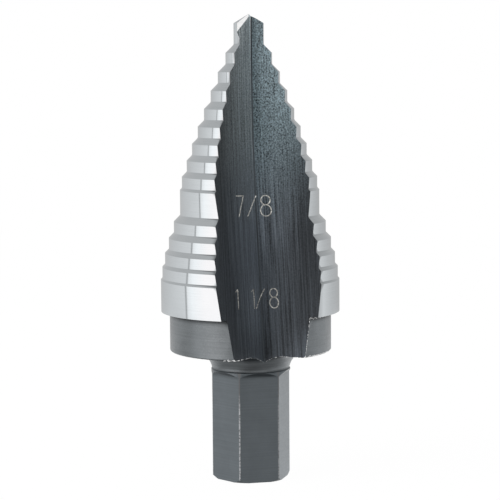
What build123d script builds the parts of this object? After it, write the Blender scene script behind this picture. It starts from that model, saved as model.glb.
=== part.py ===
from build123d import *
from math import acos, asin, atan2, cos, degrees, radians, sin, tan
import os

# A single-flute step drill, turned and ground from one bar of tool steel.
# The origin is the centre of the shank's flat end, and +Z runs up the axis to the point.
# The flute opens towards -Y, square to one flat of the hexagonal shank.
# All lengths are in millimetres and all angles in degrees.

# Point and pilot, whose diameter is 3/16 inch
point_angle = 118.0
pilot_diameter = 4.7625
pilot_length = 3.37

# Steps: two ramps of risers and lands, each ending on a land that sizes a hole of 7/8 or 1 1/8 inch
first_hole = 22.225
first_hole_land = 4.0
second_hole = 28.575
second_hole_land = 5.1
ramp_land = 1.78
first_ramp_steps = 8
first_ramp_ease = 0.28
first_ramp_short = 0.33
second_ramp_steps = 4
second_ramp_ease = 0.75
riser_angle = 45.0

# Collar under the last step
collar_inset = 1.36
collar_length = 6.35
collar_edge = 0.3
collar_root = 0.4

# Neck, and a shank turned to 1/2 inch, whose hexagon is 7/16 inch across its flats
neck_diameter = 12.3
neck_fillet = 3.5
neck_length = 2.85
shank_flats = 11.1125
shank_corners = 12.7
shank_length = 20.66
shank_chamfer = 0.5
flat_overrun = -0.1
flat_runout = 0.8

# Flute: a V ground with its cutting wall on centre, straight and then swept out of the bar
flute_angle = 102.0
flute_root = 0.2
root_past_centre = 0.62
lip_above_centre = 0.03
flute_straight = 6.0
flute_arc = 120.0
flute_exit_radius = 6.85

# Split in the point: a wide V whose corner starts just under the tip and sharpens the lip to the centre
split_behind_lip = 13.0
split_below_tip = 0.42
split_slope = 45.0
split_angle = 145.0
split_run_in = 0.24
split_floor = 0.5


def easedRamp(start, end, steps, ease):
    """Return the diameters between start and end, whose growth eases off towards the end."""
    diameters = []
    for count in range(1, steps + 1):
        share = count / steps
        diameters.append(start + (end - start) * (share + ease * share * (1 - share)))
    return diameters


def stepTable():
    """List each land from the pilot down as its radius and its length."""
    ramp_end = first_hole - 2 * first_ramp_short
    first_ramp = easedRamp(pilot_diameter, ramp_end, first_ramp_steps, first_ramp_ease)
    second_ramp = easedRamp(first_hole, second_hole, second_ramp_steps + 1, second_ramp_ease)[:-1]
    lands = [(pilot_diameter / 2, pilot_length)]
    lands += [(diameter / 2, ramp_land) for diameter in first_ramp]
    lands += [(first_hole / 2, first_hole_land)]
    lands += [(diameter / 2, ramp_land) for diameter in second_ramp]
    lands += [(second_hole / 2, second_hole_land)]
    return lands


def stepOutline(lands):
    """Walk down the point and the steps, and return the half outline with the tip at zero."""
    depth = pilot_diameter / 2 / tan(radians(point_angle / 2))
    outline = [(0, 0), (pilot_diameter / 2, -depth)]
    depth += lands[0][1]
    outline.append((lands[0][0], -depth))
    for above, (radius, length) in zip(lands, lands[1:]):
        depth += (radius - above[0]) / tan(radians(riser_angle))
        outline.append((radius, -depth))
        depth += length
        outline.append((radius, -depth))
    return outline


lands = stepTable()
outline = stepOutline(lands)
stepped_length = -outline[-1][1]
collar_radius = lands[-1][0] - collar_inset
neck_radius = neck_diameter / 2
shank_radius = shank_corners / 2
collar_bottom = shank_length
collar_top = collar_bottom + collar_length
shank_top = collar_bottom - neck_length
tip_height = collar_top + stepped_length


def turnedBlank():
    """Revolve the stepped cone, collar, neck and round shank as one turned piece."""
    # The neck's hollow starts square to the collar and runs down onto the shank's shoulder
    hollow_radius = neck_radius + neck_fillet
    hollow_height = collar_bottom - neck_fillet
    rise = max(shank_top - hollow_height, 0)
    sweep_angle = 90 - degrees(asin(rise / neck_fillet))
    hollow = CenterArc((hollow_radius, hollow_height), neck_fillet, 90, sweep_angle)
    shoulder = abs(shank_radius - (hollow @ 1).X)

    upper = [(radius, tip_height + depth) for radius, depth in outline]
    upper += [
        (collar_radius, collar_top),
        (collar_radius, collar_bottom),
        (hollow_radius, collar_bottom),
    ]
    lower = [((hollow @ 1).X, (hollow @ 1).Y)]
    if rise == 0:
        lower.append(((hollow @ 1).X, shank_top))
    lower += [
        (shank_radius, shank_top - shoulder),
        (shank_radius, shank_chamfer),
        (shank_radius - shank_chamfer, 0),
        (0, 0),
        (0, tip_height),
    ]
    section = Plane.XZ * make_face(Polyline(*upper) + hollow + Polyline(*lower))

    def roundCorner(face, height, size):
        corner = face.vertices().sort_by_distance((collar_radius, 0, height))[0]
        return fillet(corner, size)

    section = roundCorner(section, collar_top, min(collar_root, collar_inset / 2))
    section = roundCorner(section, collar_bottom, collar_edge)
    return revolve(section, Axis.Z)


def flatCutter():
    """Make the cutter of the -Y shank flat, whose slanted end leaves a scalloped run-out."""
    reach = shank_corners
    flat = shank_flats / 2
    flat_top = shank_top + flat_overrun
    section = make_face(
        Polyline(
            (-flat, -reach),
            (-flat, flat_top),
            (-flat - reach, flat_top),
            (-flat - reach, -reach),
            close=True,
        )
    )
    corner = section.vertices().sort_by_distance((-flat, flat_top, 0))[0]
    section = Plane.YZ * chamfer(corner, flat_runout)
    return extrude(section, reach, both=True)


def fluteCutter():
    """Sweep the V of the flute down the bar, straight at first and then out on an arc."""
    half = radians(flute_angle / 2)
    above = pilot_diameter
    root_x = root_past_centre * sin(half) + lip_above_centre * cos(half)
    root_y = root_past_centre * cos(half) - lip_above_centre * sin(half)

    # The arc turns until its tangent meets the exit radius under the collar
    arc_start = tip_height - flute_straight
    drop = arc_start - collar_bottom
    travel = flute_exit_radius + root_y
    side = flute_arc - travel
    turn = atan2(drop, side) - acos(flute_arc / (drop**2 + side**2) ** 0.5)
    arc_y = root_y - flute_arc * (1 - cos(turn))
    arc_z = arc_start - flute_arc * sin(turn)
    runout = (arc_z - collar_bottom + 2 * neck_fillet) / cos(turn)

    top = (root_x, root_y, tip_height + above)
    bend = (root_x, root_y, arc_start)
    leave = (root_x, arc_y, arc_z)
    end = (root_x, arc_y - runout * sin(turn), arc_z - runout * cos(turn))
    middle = (
        root_x,
        root_y - flute_arc * (1 - cos(turn / 2)),
        arc_start - flute_arc * sin(turn / 2),
    )
    path = Wire([Line(top, bend), ThreePointArc(bend, middle, leave), Line(leave, end)])

    right = (second_hole * sin(half), -second_hole * cos(half))
    left = (-second_hole * sin(half), -second_hole * cos(half))
    vee = make_face(Polyline((0, 0), right, left, close=True))
    corner = vee.vertices().sort_by_distance((0, 0, 0))[0]
    vee = fillet(corner, flute_root)
    return sweep(Location(top) * vee, path)


def splitCutter():
    """Make the cutter of the split, whose V has an upright face and a floor that falls away."""
    back = radians(flute_angle / 2 + split_behind_lip)
    slope = radians(split_slope)
    opening = radians(split_angle)
    ahead = Vector(cos(back), -sin(back), 0) * lip_above_centre
    run = Vector(-sin(back) * cos(slope), -cos(back) * cos(slope), -sin(slope))
    rise = Vector(-sin(back) * sin(slope), -cos(back) * sin(slope), cos(slope))
    start = Vector(0, 0, tip_height - split_below_tip) + ahead - run * split_run_in
    # The floor runs on past the thickest steel that the split takes away, at the pilot's rim
    face_reach = 2 * pilot_diameter
    wedge = pilot_diameter / 2 * tan(radians(split_behind_lip))
    floor_reach = wedge / sin(opening) + split_floor
    depth = floor_reach * sin(opening)
    vee = make_face(
        Polyline(
            (0, 0),
            (face_reach, 0),
            (face_reach, -depth),
            (floor_reach * cos(opening), -depth),
            close=True,
        )
    )
    return extrude(Plane(origin=start, x_dir=rise, z_dir=run) * vee, pilot_diameter)


def stepDrill():
    """Cut the flats, the flute and the split from the turned blank."""
    drill = turnedBlank()
    for count in range(6):
        drill -= Rot(0, 0, 60 * count) * flatCutter()
    drill -= fluteCutter()
    drill -= splitCutter()
    return drill


os.makedirs("parts", exist_ok=True)
drill = stepDrill()
drill.label = "step_drill"
export_step(drill, "parts/step_drill.step")
print(f"tip at {tip_height:.2f}, collar top at {collar_top:.2f}, volume {drill.volume:.0f}")
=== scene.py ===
import bpy
import bmesh
import math
import random
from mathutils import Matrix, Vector
from mathutils.bvhtree import BVHTree


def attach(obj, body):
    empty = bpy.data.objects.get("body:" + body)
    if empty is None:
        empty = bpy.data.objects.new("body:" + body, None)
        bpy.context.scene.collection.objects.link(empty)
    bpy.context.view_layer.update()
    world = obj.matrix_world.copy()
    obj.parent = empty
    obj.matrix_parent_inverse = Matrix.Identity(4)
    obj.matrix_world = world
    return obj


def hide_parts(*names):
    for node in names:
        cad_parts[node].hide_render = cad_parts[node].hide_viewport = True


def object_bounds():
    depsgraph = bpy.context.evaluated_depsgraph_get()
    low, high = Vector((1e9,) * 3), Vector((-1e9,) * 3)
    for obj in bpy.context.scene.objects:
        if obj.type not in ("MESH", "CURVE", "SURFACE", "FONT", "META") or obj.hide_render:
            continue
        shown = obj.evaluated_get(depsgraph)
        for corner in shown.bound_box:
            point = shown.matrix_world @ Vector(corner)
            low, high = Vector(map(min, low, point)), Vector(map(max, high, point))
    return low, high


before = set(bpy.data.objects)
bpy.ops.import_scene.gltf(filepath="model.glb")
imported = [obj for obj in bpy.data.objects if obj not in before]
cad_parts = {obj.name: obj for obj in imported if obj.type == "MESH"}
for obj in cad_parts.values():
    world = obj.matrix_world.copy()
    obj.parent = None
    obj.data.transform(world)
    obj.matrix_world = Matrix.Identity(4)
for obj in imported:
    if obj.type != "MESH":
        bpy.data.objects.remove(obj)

mm = 0.001  # lengths in the settings are in millimetres, unless a note says metres
scene = bpy.context.scene
cadLow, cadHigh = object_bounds()
tipHeight = cadHigh.z / mm

# Camera: where the photographer stood, in the drill's own frame
cameraSet = {
    "azimuth": -13.3,
    "distance": 309.0,
    "height": 67.79,
    "pitch": 5.75,
    "roll": 0.377,
    "lens": 139.75,
    "sensor": 36.0,
    "nearest": 10.0,
    "furthest": 20000.0,
}


def placeCamera(s):
    data = bpy.data.cameras.new("camera")
    data.sensor_width = s["sensor"]
    data.lens = s["lens"]
    data.clip_start = s["nearest"] * mm
    data.clip_end = s["furthest"] * mm
    camera = bpy.data.objects.new("camera", data)
    scene.collection.objects.link(camera)
    turn = math.radians(s["azimuth"])
    pitch = math.radians(s["pitch"])
    back = Vector((math.sin(turn), -math.cos(turn), 0))
    ahead = -back * math.cos(pitch) - Vector((0, 0, math.sin(pitch)))
    camera.location = back * s["distance"] * mm + Vector((0, 0, s["height"] * mm))
    aim = ahead.to_track_quat("-Z", "Y").to_matrix().to_4x4()
    camera.rotation_euler = aim.to_euler()
    camera.rotation_euler.rotate_axis("Z", -math.radians(s["roll"]))
    scene.camera = camera


placeCamera(cameraSet)
print("camera placed")

# Shader helpers
noiseSpan = (0.3, 0.7)  # Blender's noise seldom leaves these bounds


def rgba(level):
    return (level, level, level, 1) if isinstance(level, (int, float)) else (*level, 1)


def newMaterial(name):
    material = bpy.data.materials.new(name)
    material.use_nodes = True
    tree = material.node_tree
    tree.nodes.clear()
    output = tree.nodes.new("ShaderNodeOutputMaterial")
    shader = tree.nodes.new("ShaderNodeBsdfPrincipled")
    tree.links.new(shader.outputs["BSDF"], output.inputs["Surface"])
    return material, tree, shader


def addNode(tree, kind, inputs=None, **settings):
    node = tree.nodes.new(kind)
    for key, value in settings.items():
        setattr(node, key, value)
    for key, value in (inputs or {}).items():
        if isinstance(value, bpy.types.NodeSocket):
            tree.links.new(value, node.inputs[key])
        else:
            node.inputs[key].default_value = value
    return node


def reckon(tree, operation, first, second=0.0):
    return addNode(tree, "ShaderNodeMath", {0: first, 1: second}, operation=operation).outputs[0]


def spread(tree, value, low, high, newLow=0.0, newHigh=1.0, kind="LINEAR"):
    return addNode(tree, "ShaderNodeMapRange", {
        "Value": value, "From Min": low, "From Max": high, "To Min": newLow, "To Max": newHigh,
    }, interpolation_type=kind).outputs[0]


def spreadNoise(tree, noise, low, high):
    return spread(tree, noise, *noiseSpan, low, high)


def blendValue(tree, share, first, second):
    values = {"Factor": share, "A": first, "B": second}
    return addNode(tree, "ShaderNodeMix", values, data_type="FLOAT").outputs[0]


def blendColour(tree, share, first, second):
    return addNode(tree, "ShaderNodeMix", {0: share, 6: first, 7: second}, data_type="RGBA").outputs[2]


def scaleColour(tree, colour, level):
    inputs = {0: colour, "Scale": level}
    return addNode(tree, "ShaderNodeVectorMath", inputs, operation="SCALE").outputs[0]


def angleRound(tree, parts):
    return reckon(tree, "ARCTAN2", parts["X"], reckon(tree, "MULTIPLY", parts["Y"], -1.0))


def rampNode(tree, factor, stops):
    ramp = addNode(tree, "ShaderNodeValToRGB", {"Fac": factor})
    elements = ramp.color_ramp.elements
    elements[0].position, elements[0].color = stops[0][0], rgba(stops[0][1])
    elements[1].position, elements[1].color = stops[-1][0], rgba(stops[-1][1])
    for position, level in stops[1:-1]:
        elements.new(position).color = rgba(level)
    return ramp.outputs["Color"]


# Makes an object of a finished bmesh, at the origin
def makeObject(bm, name, materials):
    mesh = bpy.data.meshes.new(name)
    bm.to_mesh(mesh)
    bm.free()
    for material in materials:
        mesh.materials.append(material)
    made = bpy.data.objects.new(name, mesh)
    scene.collection.objects.link(made)
    return made


# Studio: the surroundings that the polished steel shows, by compass angle from where the camera stands
studioSet = {
    "levelStops": [
        (-180, 0.52), (-165, 0.56), (-140, 0.65), (-96, 0.82), (-92.3, 0.84), (-90.2, 0.29), (-88.1, 1.04),
        (-80, 1.20), (-60, (1.32, 1.25, 1.23)), (-42, (1.32, 1.25, 1.23)), (-32, 0.90), (0, 0.90),
        (45, 0.70), (68, 0.45), (90, 0.40), (100, 0.46), (108, 0.78), (116, 0.70), (131, 0.59),
        (150, 0.52), (165, 0.47), (180, 0.52),
    ],
    "upperStops": [
        (-180, 0.53), (-100, 0.53), (-80, 0.43), (-60, 0.23), (0, 0.20), (60, 0.28), (110, 0.37),
        (180, 0.53),
    ],
    "lowerStops": [
        (-180, 0.95), (-125, 0.95), (-108, 0.56), (-97, 0.61), (-88, 0.95), (-60, 1.25), (-42, 1.20),
        (-30, 0.45), (-10, 0.30), (5, 0.32), (22, 0.43), (60, 0.60), (110, 0.95), (150, 1.15), (180, 0.95),
    ],
    "groundStops": [(-180, 0.40), (-60, 0.45), (0, 0.22), (60, 0.30), (180, 0.40)],
    "brightest": 2.0,  # the ramps hold shares of this level
    "upperStart": -2.5,
    "upperFull": 13.0,
    "lowerStart": 7.2,
    "lowerFull": 9.8,
    "groundStart": 22.0,
    "groundFull": 50.0,
    "softLevel": 0.85,  # what the matt finishes see
}


def compassRamp(tree, share, stops, brightest):
    return rampNode(tree, share, [
        ((angle + 180) / 360, tuple(part / brightest for part in rgba(level)[:3])) for angle, level in stops
    ])


def blendAbove(tree, rise, start, full, base, other):
    share = spread(tree, rise, math.radians(start), math.radians(full), kind="SMOOTHSTEP")
    return blendColour(tree, share, base, other)


def buildStudio(s):
    world = bpy.data.worlds.new("studio")
    world.use_nodes = True
    scene.world = world
    tree = world.node_tree
    tree.nodes.clear()
    output = addNode(tree, "ShaderNodeOutputWorld")
    direction = addNode(tree, "ShaderNodeTexCoord").outputs["Generated"]
    parts = addNode(tree, "ShaderNodeSeparateXYZ", {"Vector": direction}).outputs
    turned = reckon(tree, "ADD", angleRound(tree, parts), math.radians(-cameraSet["azimuth"]))
    half = reckon(tree, "ADD", reckon(tree, "DIVIDE", turned, 2 * math.pi), 0.5)
    wrapped = reckon(tree, "FLOORED_MODULO", half, 1.0)
    rise = reckon(tree, "ARCSINE", parts["Z"])
    fall = reckon(tree, "MULTIPLY", rise, -1.0)
    level, upper, lower, ground = (
        compassRamp(tree, wrapped, s[part + "Stops"], s["brightest"])
        for part in ("level", "upper", "lower", "ground")
    )
    room = blendAbove(tree, rise, s["upperStart"], s["upperFull"], level, upper)
    room = blendAbove(tree, fall, s["lowerStart"], s["lowerFull"], room, lower)
    room = blendAbove(tree, fall, s["groundStart"], s["groundFull"], room, ground)
    seen, soft, white = (
        addNode(tree, "ShaderNodeBackground", {"Color": colour, "Strength": strength}).outputs[0]
        for colour, strength in ((room, s["brightest"]), (rgba(1.0), s["softLevel"]), (rgba(1.0), 1.0))
    )
    path = addNode(tree, "ShaderNodeLightPath").outputs
    glossy = addNode(tree, "ShaderNodeMixShader", {0: path["Is Glossy Ray"], 1: soft, 2: seen}).outputs[0]
    final = addNode(tree, "ShaderNodeMixShader", {0: path["Is Camera Ray"], 1: glossy, 2: white}).outputs[0]
    tree.links.new(final, output.inputs["Surface"])


buildStudio(studioSet)

# Floor and a soft lamp, in metres: the camera sees the floor nearly white, with a trace of shade near by
floorSet = {
    "size": 6.0, "colour": 0.93, "roughness": 0.6, "whiteNear": 0.98, "whiteFar": 1.0, "fade": (0.10, 0.45),
}
lampSet = {
    "azimuth": -65.0, "distance": 0.9, "height": 0.75, "aim": 0.04, "size": 0.8, "power": 11.0,
}


def layFloor(s):
    bm = bmesh.new()
    bmesh.ops.create_grid(bm, x_segments=1, y_segments=1, size=s["size"] / 2)
    material, tree, shader = newMaterial("paleFloor")
    floor = makeObject(bm, "floor", [material])
    floor.visible_glossy = False
    shader.inputs["Base Color"].default_value = rgba(s["colour"])
    shader.inputs["Roughness"].default_value = s["roughness"]
    white = addNode(tree, "ShaderNodeEmission", {"Color": rgba(1.0), "Strength": 1.0})
    place = addNode(tree, "ShaderNodeTexCoord").outputs["Object"]
    away = addNode(tree, "ShaderNodeVectorMath", {0: place}, operation="LENGTH").outputs["Value"]
    near, far = s["fade"]
    whiten = spread(tree, away, near, far, s["whiteNear"], s["whiteFar"], "SMOOTHSTEP")
    part = reckon(tree, "MULTIPLY", addNode(tree, "ShaderNodeLightPath").outputs["Is Camera Ray"], whiten)
    mixed = addNode(tree, "ShaderNodeMixShader", {0: part, 1: shader.outputs[0], 2: white.outputs[0]})
    tree.links.new(mixed.outputs[0], tree.nodes["Material Output"].inputs["Surface"])


def hangLamp(s):
    data = bpy.data.lights.new("softbox", "AREA")
    data.shape = "SQUARE"
    data.size = s["size"]
    data.energy = s["power"]
    lamp = bpy.data.objects.new("softbox", data)
    scene.collection.objects.link(lamp)
    turn = math.radians(s["azimuth"] + cameraSet["azimuth"])
    aside = Vector((math.sin(turn), -math.cos(turn), 0))
    lamp.location = aside * s["distance"] + Vector((0, 0, s["height"]))
    lamp.rotation_euler = (Vector((0, 0, s["aim"])) - lamp.location).to_track_quat("-Z", "Y").to_euler()
    lamp.visible_glossy = False


layFloor(floorSet)
hangLamp(lampSet)
print("studio ready")

# Grain: every finish draws on one or both of these groups. The two scales, per metre, stand for a finish
# that sets none of its own.
grainSet = {
    "lineDetail": 4.0, "patchDetail": 3.0, "speckDetail": 2.0, "roughness": 0.6,
    "patchScale": 150.0, "speckScale": 3500.0,
}


# Grinding marks: fine lines along one direction
def buildGrindGroup(s):
    group = bpy.data.node_groups.new("grindLines", "ShaderNodeTree")
    for name in ("Across", "Along", "Fineness", "Length", "Roughness"):
        group.interface.new_socket(name, in_out="INPUT", socket_type="NodeSocketFloat")
    group.interface.new_socket("Lines", in_out="OUTPUT", socket_type="NodeSocketFloat")
    given = group.nodes.new("NodeGroupInput").outputs
    made = group.nodes.new("NodeGroupOutput").inputs
    across = reckon(group, "MULTIPLY", given["Across"], given["Fineness"])
    along = reckon(group, "MULTIPLY", given["Along"], given["Length"])
    place = addNode(group, "ShaderNodeCombineXYZ", {"X": across, "Y": along})
    noise = addNode(group, "ShaderNodeTexNoise", {
        "Vector": place.outputs[0], "Scale": 1.0, "Detail": s["lineDetail"], "Roughness": given["Roughness"],
    })
    group.links.new(noise.outputs["Fac"], made["Lines"])
    return group


# Wear: soft patches with fine specks in them
def buildWearGroup(s):
    group = bpy.data.node_groups.new("wearPatches", "ShaderNodeTree")
    group.interface.new_socket("Place", in_out="INPUT", socket_type="NodeSocketVector")
    for name in ("Patch Scale", "Speck Scale"):
        group.interface.new_socket(name, in_out="INPUT", socket_type="NodeSocketFloat")
    for name in ("Patches", "Specks"):
        group.interface.new_socket(name, in_out="OUTPUT", socket_type="NodeSocketFloat")
    given = group.nodes.new("NodeGroupInput").outputs
    made = group.nodes.new("NodeGroupOutput").inputs
    kinds = (("Patches", "Patch Scale", s["patchDetail"]), ("Specks", "Speck Scale", s["speckDetail"]))
    for name, scale, detail in kinds:
        noise = addNode(group, "ShaderNodeTexNoise", {
            "Vector": given["Place"], "Scale": given[scale], "Detail": detail, "Roughness": s["roughness"],
        })
        group.links.new(noise.outputs["Fac"], made[name])
    return group


grindGroup = buildGrindGroup(grainSet)
wearGroup = buildWearGroup(grainSet)


def objectPlace(tree):
    coordinates = addNode(tree, "ShaderNodeTexCoord").outputs["Object"]
    return coordinates, addNode(tree, "ShaderNodeSeparateXYZ", {"Vector": coordinates}).outputs


def grindLines(tree, across, along, fineness, length, roughness=grainSet["roughness"]):
    return addNode(tree, "ShaderNodeGroup", {
        "Across": across, "Along": along, "Fineness": fineness, "Length": length, "Roughness": roughness,
    }, node_tree=grindGroup).outputs["Lines"]


def wearPatches(tree, place, patchScale=grainSet["patchScale"], speckScale=grainSet["speckScale"]):
    return addNode(tree, "ShaderNodeGroup", {
        "Place": place, "Patch Scale": patchScale, "Speck Scale": speckScale,
    }, node_tree=wearGroup).outputs


def heightRamp(tree, parts, stops):
    top = stops[-1][0]
    share = reckon(tree, "DIVIDE", parts["Z"], top * mm)
    return rampNode(tree, share, [(height / top, level) for height, level in stops])


def bumpNode(tree, height, strength, distance, normal=None):
    inputs = {"Height": height, "Strength": strength, "Distance": distance}
    if normal:
        inputs["Normal"] = normal
    return addNode(tree, "ShaderNodeBump", inputs).outputs[0]


def dress(tree, shader, colour, metallic, roughness, normal):
    shader.inputs["Metallic"].default_value = metallic
    if isinstance(roughness, bpy.types.NodeSocket):
        tree.links.new(roughness, shader.inputs["Roughness"])
    else:
        shader.inputs["Roughness"].default_value = roughness
    tree.links.new(colour, shader.inputs["Base Color"])
    tree.links.new(normal, shader.inputs["Normal"])


# Ground steel: bright lands with fine turned lines
steelSet = {
    "colour": (0.705, 0.742, 0.765), "roughness": 0.055, "lineFineness": 9000.0, "lineLength": 1.5,
    "lineBump": 0.05, "lineDepth": 0.01, "tint": 0.03, "patch": 0.025, "patchScale": 180.0,
}


def groundSteel(s):
    material, tree, shader = newMaterial("groundSteel")
    coordinates, parts = objectPlace(tree)
    turned = grindLines(tree, parts["Z"], angleRound(tree, parts), s["lineFineness"], s["lineLength"])
    patches = wearPatches(tree, coordinates, patchScale=s["patchScale"])["Patches"]
    shade = spreadNoise(tree, turned, 1 - s["tint"], 1 + s["tint"])
    soft = spreadNoise(tree, patches, 1 - s["patch"], 1 + s["patch"])
    colour = scaleColour(tree, s["colour"], reckon(tree, "MULTIPLY", shade, soft))
    normal = bumpNode(tree, turned, s["lineBump"], s["lineDepth"] * mm)
    dress(tree, shader, colour, 1.0, s["roughness"], normal)
    return material


# Split: the last grinding of the point, matt; its near-white colour is a painted highlight
splitSet = {
    "colour": (1.0, 1.0, 1.0), "metallic": 0.1, "roughness": 0.5, "fineness": 6000.0, "length": 300.0,
    "shade": (0.93, 1.03), "bump": 0.15, "depth": 0.01,
}


def splitSteel(s):
    material, tree, shader = newMaterial("splitSteel")
    parts = objectPlace(tree)[1]
    lines = grindLines(tree, parts["Z"], parts["X"], s["fineness"], s["length"])
    # near white: a painted highlight on the facet
    colour = scaleColour(tree, s["colour"], spreadNoise(tree, lines, *s["shade"]))
    normal = bumpNode(tree, lines, s["bump"], s["depth"] * mm)
    dress(tree, shader, colour, s["metallic"], s["roughness"], normal)
    return material


fluteRootX = 0.5  # how far the root of the flute stands to the right of the axis

# Flute: black oxide, streaked along the cut, paler towards the point and the root.
# The levels are painted light and shade on the two walls, partly over wear of the oxide.
# Each list of levels runs up the drill, beside the root (inner) or at the flute's edge (outer).
fluteSet = {
    "lowTint": (0.86, 1.00, 1.16),
    "leftTint": (0.89, 1.01, 1.06),
    "rightTint": (0.77, 1.02, 1.13),
    "leftInner": [(20.7, 0.10), (26, 0.155), (40, 0.175), (50, 0.215), (60, 0.28), (68, 0.36), (75, 0.50)],
    "leftOuter": [(20.7, 0.05), (40, 0.057), (53, 0.055), (60, 0.09), (68, 0.20), (75, 0.28)],
    "rightInner": [(20.7, 0.048), (26, 0.077), (36, 0.115), (40, 0.16), (53, 0.215), (68, 0.21), (75, 0.11)],
    "rightOuter": [(20.7, 0.083), (26, 0.043), (40, 0.034), (50, 0.06), (60, 0.18), (68, 0.20), (75, 0.17)],
    "reach": [(20.7, 0.52), (25.9, 0.59), (39.7, 0.67), (50.4, 0.73), (60, 0.55), (68, 0.29), (75, 0.17)],
    "reachUnit": 10.0,  # the flute's half width is the reach times this
    "reachSpan": (0.12, 0.95),  # inner gives way to outer across this part of it
    # the ridge is a painted highlight
    "ridge": (-0.50, -0.28),  # a paler line just left of the root
    "ridgeLight": 0.35,
    "metallic": 0.5,
    "roughness": 0.34,
    "streakFineness": 4900.0,
    "streakLength": 60.0,
    "streakRoughness": 0.65,
    "speckleScale": 4200.0,
    "lowSpeckle": 0.22,
    "leftSpeckle": 0.42,
    "rightSpeckle": 0.72,
    "leftContrast": 0.65,
    "rightContrast": 1.05,
    "leftHighContrast": 1.0,
    "rightHighContrast": 1.25,
    "coarse": (38.0, 58.0),  # speckle takes over from streaks between these heights
    "streakBump": 0.30,
    "speckleBump": 0.30,
    "depth": 0.04,
}


def blackFlute(s):
    material, tree, shader = newMaterial("blackFlute")
    coordinates, parts = objectPlace(tree)
    aside = reckon(tree, "SUBTRACT", parts["X"], fluteRootX * mm)
    width = reckon(tree, "MULTIPLY", heightRamp(tree, parts, s["reach"]), s["reachUnit"] * mm)
    share = reckon(tree, "DIVIDE", reckon(tree, "ABSOLUTE", aside), width)
    share = spread(tree, share, *s["reachSpan"])
    onLeft = reckon(tree, "LESS_THAN", aside, 0.0)
    # levels by height on each wall: painted light and shade, partly over wear of the oxide
    left, right = (
        blendValue(tree, share, heightRamp(tree, parts, s[inner]), heightRamp(tree, parts, s[outer]))
        for inner, outer in (("leftInner", "leftOuter"), ("rightInner", "rightOuter"))
    )
    low, high = s["coarse"]
    upper = spread(tree, parts["Z"], low * mm, high * mm, kind="SMOOTHSTEP")
    # the ridge: a painted highlight just left of the root, high up
    start, end = s["ridge"]
    ridge = spread(tree, aside, start * mm, end * mm, 0.0, s["ridgeLight"])
    light = reckon(tree, "ADD", reckon(tree, "MULTIPLY", ridge, upper), 1.0)
    level = blendValue(tree, onLeft, right, reckon(tree, "MULTIPLY", left, light))

    streaks = grindLines(
        tree, parts["X"], parts["Z"], s["streakFineness"], s["streakLength"], s["streakRoughness"],
    )
    speckle = wearPatches(tree, coordinates, speckScale=s["speckleScale"])["Specks"]
    highSpeckle = blendValue(tree, onLeft, s["rightSpeckle"], s["leftSpeckle"])
    grain = blendValue(tree, blendValue(tree, upper, s["lowSpeckle"], highSpeckle), streaks, speckle)
    lowContrast = blendValue(tree, onLeft, s["rightContrast"], s["leftContrast"])
    highContrast = blendValue(tree, onLeft, s["rightHighContrast"], s["leftHighContrast"])
    contrast = blendValue(tree, upper, lowContrast, highContrast)
    swing = reckon(tree, "MULTIPLY", spreadNoise(tree, grain, -1.0, 1.0), contrast)
    shade = reckon(tree, "ADD", swing, 1.0)

    highTint = blendColour(tree, onLeft, rgba(s["rightTint"]), rgba(s["leftTint"]))
    tint = blendColour(tree, upper, rgba(s["lowTint"]), highTint)
    colour = scaleColour(tree, tint, reckon(tree, "MULTIPLY", level, shade))
    bump = bumpNode(tree, streaks, s["streakBump"], s["depth"] * mm)
    pits = bumpNode(tree, speckle, s["speckleBump"], s["depth"] * mm, bump)
    dress(tree, shader, colour, s["metallic"], s["roughness"], pits)
    return material


# Collar, neck and shank: thinner black oxide with turned or ground lines. The collar's levels paint shade
# under the last land.
oxideSet = {"patchScale": 260.0, "speckScale": 3600.0, "smoother": 0.04, "rougher": 0.06, "depth": 0.02}
darkSet = {
    "collar": {
        "colour": (0.226, 0.244, 0.256), "roughness": 0.30, "fineness": 4200.0, "length": 1.2,
        "contrast": 0.10, "patch": 0.08, "bump": 0.10,
        # darker at the top: painted shade under the last land
        "levels": [(18.0, 1.0), (25.9, 1.0), (26.25, 0.75), (26.6, 0.30), (28.0, 0.25)],
    },
    "neck": {
        "colour": (0.226, 0.244, 0.256), "roughness": 0.34, "fineness": 3600.0, "length": 1.0,
        "contrast": 0.16, "patch": 0.10, "bump": 0.14,
        "levels": [(15.0, 0.84), (18.4, 0.86), (19.4, 0.97), (28.0, 0.97)],
    },
    "shank": {
        "colour": (0.178, 0.200, 0.216), "roughness": 0.32, "fineness": 4600.0, "length": 40.0,
        "contrast": 0.08, "patch": 0.06, "bump": 0.08,
        "levels": [(0.0, 1.0), (16.5, 1.0), (16.9, 0.8), (20.0, 0.8)],
    },
}


def darkSteel(name, s, roundLines):
    material, tree, shader = newMaterial(name)
    coordinates, parts = objectPlace(tree)
    along = angleRound(tree, parts) if roundLines else parts["X"]
    lines = grindLines(tree, parts["Z"], along, s["fineness"], s["length"])
    wear = wearPatches(tree, coordinates, oxideSet["patchScale"], oxideSet["speckScale"])
    shade = spreadNoise(tree, lines, 1 - s["contrast"], 1 + s["contrast"])
    soft = spreadNoise(tree, wear["Patches"], 1 - s["patch"], 1 + s["patch"])
    # levels by height; the collar's dark top is painted shade
    fade = heightRamp(tree, parts, s["levels"])
    level = reckon(tree, "MULTIPLY", reckon(tree, "MULTIPLY", shade, soft), fade)
    smoothest, roughest = s["roughness"] - oxideSet["smoother"], s["roughness"] + oxideSet["rougher"]
    roughness = spreadNoise(tree, wear["Specks"], smoothest, roughest)
    normal = bumpNode(tree, lines, s["bump"], oxideSet["depth"] * mm)
    dress(tree, shader, scaleColour(tree, s["colour"], level), 1.0, roughness, normal)
    return material


# Corners worn through to the steel low down and mostly on the left, with dark flecks left in them
cornerSet = {
    "bare": 0.58, "dark": 0.17, "tint": (0.97, 1.0, 1.03), "roughness": 0.34, "fleckScale": 3600.0,
    "fleck": (0.36, 0.56), "wornTo": (12.5, 14.5), "halfWidth": 4.5, "rightShare": 0.35, "bump": 0.2,
    "depth": 0.02,
}


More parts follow.
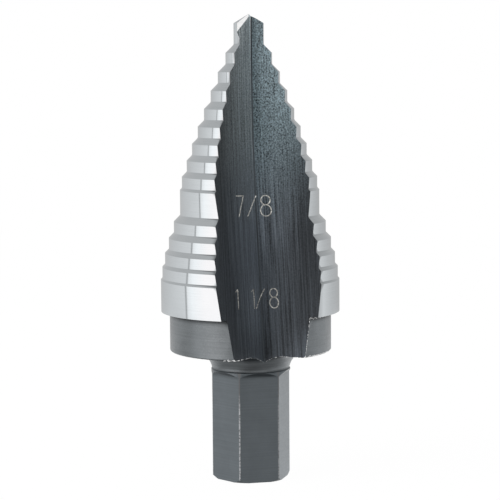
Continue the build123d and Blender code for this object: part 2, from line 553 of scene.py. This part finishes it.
def wornCorner(s):
    material, tree, shader = newMaterial("wornCorner")
    coordinates, parts = objectPlace(tree)
    specks = wearPatches(tree, coordinates, speckScale=s["fleckScale"])["Specks"]
    bare = spread(tree, specks, *s["fleck"])
    side = spread(tree, parts["X"], -s["halfWidth"] * mm, s["halfWidth"] * mm, 1.0, s["rightShare"])
    full, gone = s["wornTo"]
    low = spread(tree, parts["Z"], full * mm, gone * mm, 1.0, 0.0)
    share = reckon(tree, "MULTIPLY", reckon(tree, "MULTIPLY", bare, side), low)
    colour = scaleColour(tree, s["tint"], blendValue(tree, share, s["dark"], s["bare"]))
    normal = bumpNode(tree, specks, s["bump"], s["depth"] * mm)
    dress(tree, shader, colour, 1.0, s["roughness"], normal)
    return material


# Root of the flute: darker and rougher along the crease
rootSet = {
    "tint": (0.87, 1.0, 1.1), "roughness": 0.55, "streakFineness": 4800.0, "streakLength": 60.0,
    "shade": (0.7, 1.3), "bump": 0.2, "depth": 0.02,
    "levels": [(20.7, 0.12), (40, 0.15), (50, 0.24), (62, 0.23), (67, 0.14), (75, 0.09)],
}


def darkRoot(s):
    material, tree, shader = newMaterial("darkRoot")
    parts = objectPlace(tree)[1]
    streaks = grindLines(tree, parts["X"], parts["Z"], s["streakFineness"], s["streakLength"])
    shade = spreadNoise(tree, streaks, *s["shade"])
    level = reckon(tree, "MULTIPLY", heightRamp(tree, parts, s["levels"]), shade)
    normal = bumpNode(tree, streaks, s["bump"], s["depth"] * mm)
    dress(tree, shader, scaleColour(tree, s["tint"], level), 1.0, s["roughness"], normal)
    return material


finishes = {
    "ground": groundSteel(steelSet),
    "split": splitSteel(splitSet),
    "flute": blackFlute(fluteSet),
    "root": darkRoot(rootSet),
    "collar": darkSteel("blackCollar", darkSet["collar"], True),
    "neck": darkSteel("blackNeck", darkSet["neck"], True),
    "shank": darkSteel("blackShank", darkSet["shank"], False),
    "corner": wornCorner(cornerSet),
}
order = list(finishes)

# Drill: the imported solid, merged, sorted by finish and given fine edges
drillSet = {
    "merge": 0.004,
    "flatten": 0.6,  # degrees, as is the next
    "edgeAngle": 28.0,
    "edgeWidth": 0.05,
    "edgeSegments": 2,
    "grooveWidth": 0.16,
    "grooveSegments": 4,
    "faceWeight": 90,
    # Heights of the collar, the neck's lower end and the top of the flats
    "collarTop": 27.01,
    "collarBottom": 20.66,
    "shankTop": 17.81,
    "flatEnd": 16.95,
    "margin": 0.01,
    # What tells the worn corners, the flute, its root and the split apart
    "cornerRadius": 6.2,
    "cornerUpright": 0.1,  # the most that a corner's normal may rise
    "tangent": 0.08,
    "rootReach": 0.35,
    "rootFront": 0.6,
    "rootUpright": 0.45,
    "wallTurn": 0.629,  # how far the two walls of the flute face sideways
    "wallMatch": 0.04,
    "splitDepth": 3.5,
    "splitNormal": (0.438, -0.899, 0.0),
    "splitMatch": 0.995,
}


def finishOf(face, s):
    centre = face.calc_center_median() / mm
    radial = Vector((centre.x, centre.y, 0))
    normal = face.normal
    sideways = abs(normal.cross(radial.normalized()).z)
    if centre.z < s["shankTop"]:
        atCorner = centre.z < s["flatEnd"] and radial.length > s["cornerRadius"]
        return "corner" if atCorner and abs(normal.z) < s["cornerUpright"] else "shank"
    atPoint = centre.z > tipHeight - s["splitDepth"]
    if atPoint and normal.dot(Vector(s["splitNormal"])) > s["splitMatch"]:
        return "split"
    besideRoot = abs(centre.x - fluteRootX) < s["rootReach"] and centre.y < s["rootFront"]
    inRoot = besideRoot and centre.z > s["collarBottom"] and abs(normal.z) < s["rootUpright"]
    if inRoot and abs(abs(normal.x) - s["wallTurn"]) > s["wallMatch"]:
        return "root"
    if inRoot or sideways > s["tangent"]:
        return "flute"
    if centre.z < s["collarTop"]:
        return "collar" if centre.z > s["collarBottom"] + s["margin"] else "neck"
    return "ground"


def roundEdges(bm, edges, width, segments):
    bmesh.ops.bevel(
        bm, geom=edges, offset=width * mm, offset_type="OFFSET", affect="EDGES",
        segments=segments, profile=0.5, material=-1, clamp_overlap=True,
    )


def buildDrill(s):
    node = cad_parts["step_drill"]
    bm = bmesh.new()
    bm.from_mesh(node.data)
    bmesh.ops.remove_doubles(bm, verts=bm.verts, dist=s["merge"] * mm)
    bmesh.ops.dissolve_limit(bm, angle_limit=math.radians(s["flatten"]), verts=bm.verts, edges=bm.edges)
    for face in bm.faces:
        face.material_index = order.index(finishOf(face, s))
    turn = math.radians(s["edgeAngle"])
    ground = order.index("ground")
    grooves = [
        edge for edge in bm.edges
        if len(edge.link_faces) == 2 and edge.calc_face_angle_signed() < -turn
        and all(face.material_index == ground for face in edge.link_faces)
    ]
    roundEdges(bm, grooves, s["grooveWidth"], s["grooveSegments"])
    corners = [
        edge for edge in bm.edges if len(edge.link_faces) == 2 and edge.calc_face_angle_signed() > turn
    ]
    roundEdges(bm, corners, s["edgeWidth"], s["edgeSegments"])
    for face in bm.faces:
        face.smooth = True
    drill = makeObject(bm, "drill_body", [finishes[name] for name in order])
    drill.data.set_sharp_from_angle(angle=turn)
    weigh = drill.modifiers.new("weighed normals", "WEIGHTED_NORMAL")
    weigh.keep_sharp = True
    weigh.weight = s["faceWeight"]
    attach(drill, "root")
    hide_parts("step_drill")
    return drill


drill = buildDrill(drillSet)
print("drill built with", len(drill.data.polygons), "faces")

# Size marks: engraved strokes, laid on the flute's walls as if drawn square to the flute.
# Each sign has its left and right ends, in millimetres from the axis.
markSet = {
    "stroke": 0.14,
    "step": 0.12,
    "proud": 0.006,
    "sunk": 0.04,
    "castFrom": -30.0,
    "colour": (0.72, 0.71, 0.66),
    "levels": [(27, 0.68), (31, 0.68), (41.5, 1.07), (46, 1.07)],
    "specks": (0.35, 0.65),
    "speckLevels": (0.35, 1.35),
    "metallic": 0.3,
    "roughness": 0.55,
    "bump": 0.3,
    "depth": 0.01,
    "marks": [
        {"bottom": 42.08, "height": 3.28, "lean": 4.5,
         "signs": [("7", -3.35, -1.95), ("/", -1.25, 0.6), ("8", 1.12, 2.58)]},
        {"bottom": 27.2, "height": 3.12, "lean": 7.5,
         "signs": [("1", -4.45, -4.0), ("1", -1.3, -0.85), ("/", -0.5, 1.1), ("8", 1.70, 2.87)]},
    ],
}


def ovalStroke(middle, halfHeight, halfWidth, count=24):
    turns = [2 * math.pi * index / count for index in range(count + 1)]
    return [(0.5 + halfWidth * math.sin(turn), middle + halfHeight * math.cos(turn)) for turn in turns]


# Strokes of each sign in a box one wide and one high
signStrokes = {
    "1": [[(0, 0.86), (1, 1), (1, 0)]],
    "7": [[(0, 1), (1, 1), (0.27, 0)]],
    "/": [[(1, 1), (0, 0)]],
    "8": [ovalStroke(0.775, 0.225, 0.43), ovalStroke(0.275, 0.275, 0.5)],
}


def strokeSpots(points, s):
    spots = []
    for (startX, startZ), (endX, endZ) in zip(points, points[1:]):
        length = math.hypot(endX - startX, endZ - startZ)
        count = max(1, round(length / s["step"]))
        side = Vector((endZ - startZ, 0, startX - endX)) / length * s["stroke"] / 2
        for index in range(count + 1):
            share = index / count
            middle = Vector((startX + (endX - startX) * share, 0, startZ + (endZ - startZ) * share))
            spots.append((middle - side, middle + side))
    return spots


# A strip with one row for each pair of spots, dropped onto the flute's wall
def layStroke(bm, skin, spots, lean, s):
    ahead = Vector((0, math.cos(lean), -math.sin(lean)))
    last = len(spots) - 1
    for vert in bmesh.ops.create_grid(bm, x_segments=last, y_segments=1, size=0.5)["verts"]:
        spot = spots[round((vert.co.x + 0.5) * last)][vert.co.y > 0]
        start = Vector((spot.x, s["castFrom"], spot.z - s["castFrom"] * math.tan(lean))) * mm
        hit, normal = skin.ray_cast(start, ahead)[:2]
        vert.co = hit + normal * s["proud"] * mm


def paleMark(s):
    material, tree, shader = newMaterial("paleMark")
    coordinates, parts = objectPlace(tree)
    specks = wearPatches(tree, coordinates)["Specks"]
    worn = spread(tree, specks, *s["specks"], *s["speckLevels"])
    level = reckon(tree, "MULTIPLY", worn, heightRamp(tree, parts, s["levels"]))
    colour = scaleColour(tree, s["colour"], level)
    normal = bumpNode(tree, specks, s["bump"], s["depth"] * mm)
    dress(tree, shader, colour, s["metallic"], s["roughness"], normal)
    return material


def engraveMarks(s):
    skin = BVHTree.FromObject(drill, bpy.context.evaluated_depsgraph_get())
    bm = bmesh.new()
    for mark in s["marks"]:
        lean = math.radians(mark["lean"])
        for sign, left, right in mark["signs"]:
            for stroke in signStrokes[sign]:
                places = [(left + (right - left) * x, mark["bottom"] + mark["height"] * z) for x, z in stroke]
                layStroke(bm, skin, strokeSpots(places, s), lean, s)
    thickened = bmesh.ops.extrude_face_region(bm, geom=bm.faces[:])["geom"]
    inner = [part for part in thickened if isinstance(part, bmesh.types.BMVert)]
    bmesh.ops.translate(bm, verts=inner, vec=(0, s["sunk"] * mm, 0))
    bmesh.ops.recalc_face_normals(bm, faces=bm.faces)
    marks = makeObject(bm, "size_marks", [paleMark(s)])
    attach(marks, "root")


engraveMarks(markSet)
print("marks engraved")

# Burrs: crumbs of steel along the edge where the flute leaves the collar, made bright by the split's painted
# highlight.
# Below "high" they sit on the rim at the bottom, and above it on the collar's right side only.
# Strays stand on the collar's rims beyond that edge, where slivers of its fillets count as flute.
burrSet = {
    "low": 19.5,
    "high": 20.9,
    "sideHigh": 26.9,
    "leftEnd": -6.9,
    "seed": 7,
    "keep": 0.5,
    "spacing": 0.12,
    "size": (0.025, 0.08),
    "sideSpacing": 0.08,
    "sideSize": (0.015, 0.055),
    "calmWithin": 2.8,
    "calmShare": 0.55,
    "stretch": (0.6, 1.5),
    "jitter": (0.8, 1.2),
}


def raiseBurrs(s):
    dice = random.Random(s["seed"])
    flute = order.index("flute")
    vertices = drill.data.vertices
    sides = {}
    for polygon in drill.data.polygons:
        for key in polygon.edge_keys:
            ends = tuple(sorted(tuple(vertices[index].co) for index in key))
            sides.setdefault(ends, []).append(polygon.material_index)
    bm = bmesh.new()
    for ends, kinds in sorted(sides.items()):  # by place, so that each run draws in the same order
        start, end = (Vector(place) for place in ends)
        height = (start.z + end.z) / 2 / mm
        onSide = height > s["high"]
        onEdge = kinds.count(flute) == 1 and len(kinds) == 2 and s["low"] < height < s["sideHigh"]
        if not onEdge or start.y + end.y > 0 or start.x < (0 if onSide else s["leftEnd"] * mm):
            continue
        spacing, sizes = (s["sideSpacing"], s["sideSize"]) if onSide else (s["spacing"], s["size"])
        for index in range(max(1, round((end - start).length / mm / spacing))):
            if dice.random() > s["keep"]:
                continue
            place = start.lerp(end, dice.random())
            calm = s["calmShare"] if abs(place.x) < s["calmWithin"] * mm else 1.0
            size = dice.uniform(*sizes) * calm * mm
            crumb = bmesh.ops.create_icosphere(bm, subdivisions=1, radius=size)["verts"]
            stretch = Vector([dice.uniform(*s["stretch"]) for axis in range(3)])
            for vert in crumb:
                vert.co = vert.co * stretch * dice.uniform(*s["jitter"]) + place
    # the split's finish: near white, a painted highlight
    burrs = makeObject(bm, "exit_burrs", [finishes["split"]])
    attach(burrs, "root")
    return burrs


burrs = raiseBurrs(burrSet)
print("burrs raised with", len(burrs.data.polygons), "faces")

scene.view_settings.view_transform = "Standard"
